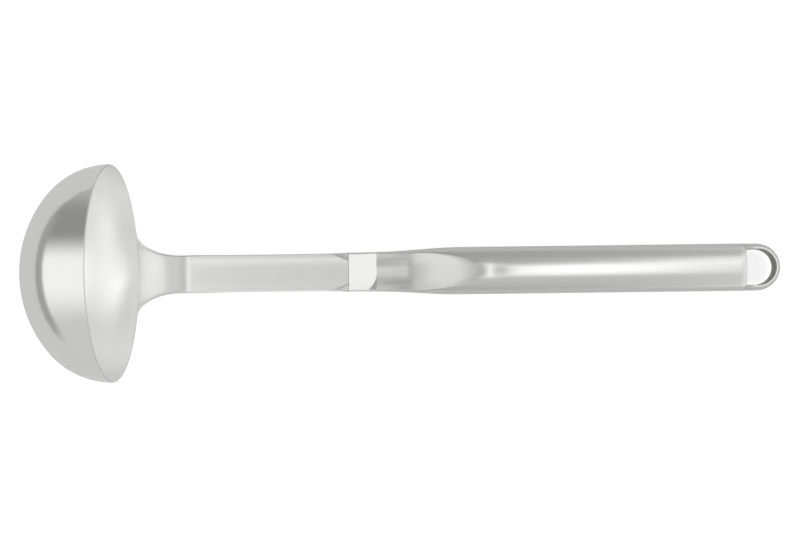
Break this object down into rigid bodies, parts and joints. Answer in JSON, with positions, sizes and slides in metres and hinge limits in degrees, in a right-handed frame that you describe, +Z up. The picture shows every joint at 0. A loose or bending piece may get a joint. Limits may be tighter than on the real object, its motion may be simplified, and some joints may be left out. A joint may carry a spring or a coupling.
{
  "type": "ladle",
  "caption": "Steel serving ladle: deep round bowl, flared strip neck, hollow oval handle with a pressed thumb scoop, and a hang loop at its end.",
  "frame": {"origin": "bottom centre of the bounding box: under the middle of the length, on the surface that the ladle lies on", "axes": "+X along the handle towards the hang loop, +Y across the handle, +Z up, out of the front of the handle"},
  "size_m": [0.34, 0.0954, 0.0953],
  "materials": {
    "polished_steel": "polished stainless steel",
    "brushed_steel": "satin stainless steel, brushed along the handle"
  },
  "bodies": {
    "root": {"bowl": "polished_steel", "neck": "polished_steel", "collar": "polished_steel", "handle_front": "brushed_steel", "handle_back": "brushed_steel", "end_plug": "brushed_steel", "hang_loop": "polished_steel"}
  },
  "joints": []
}
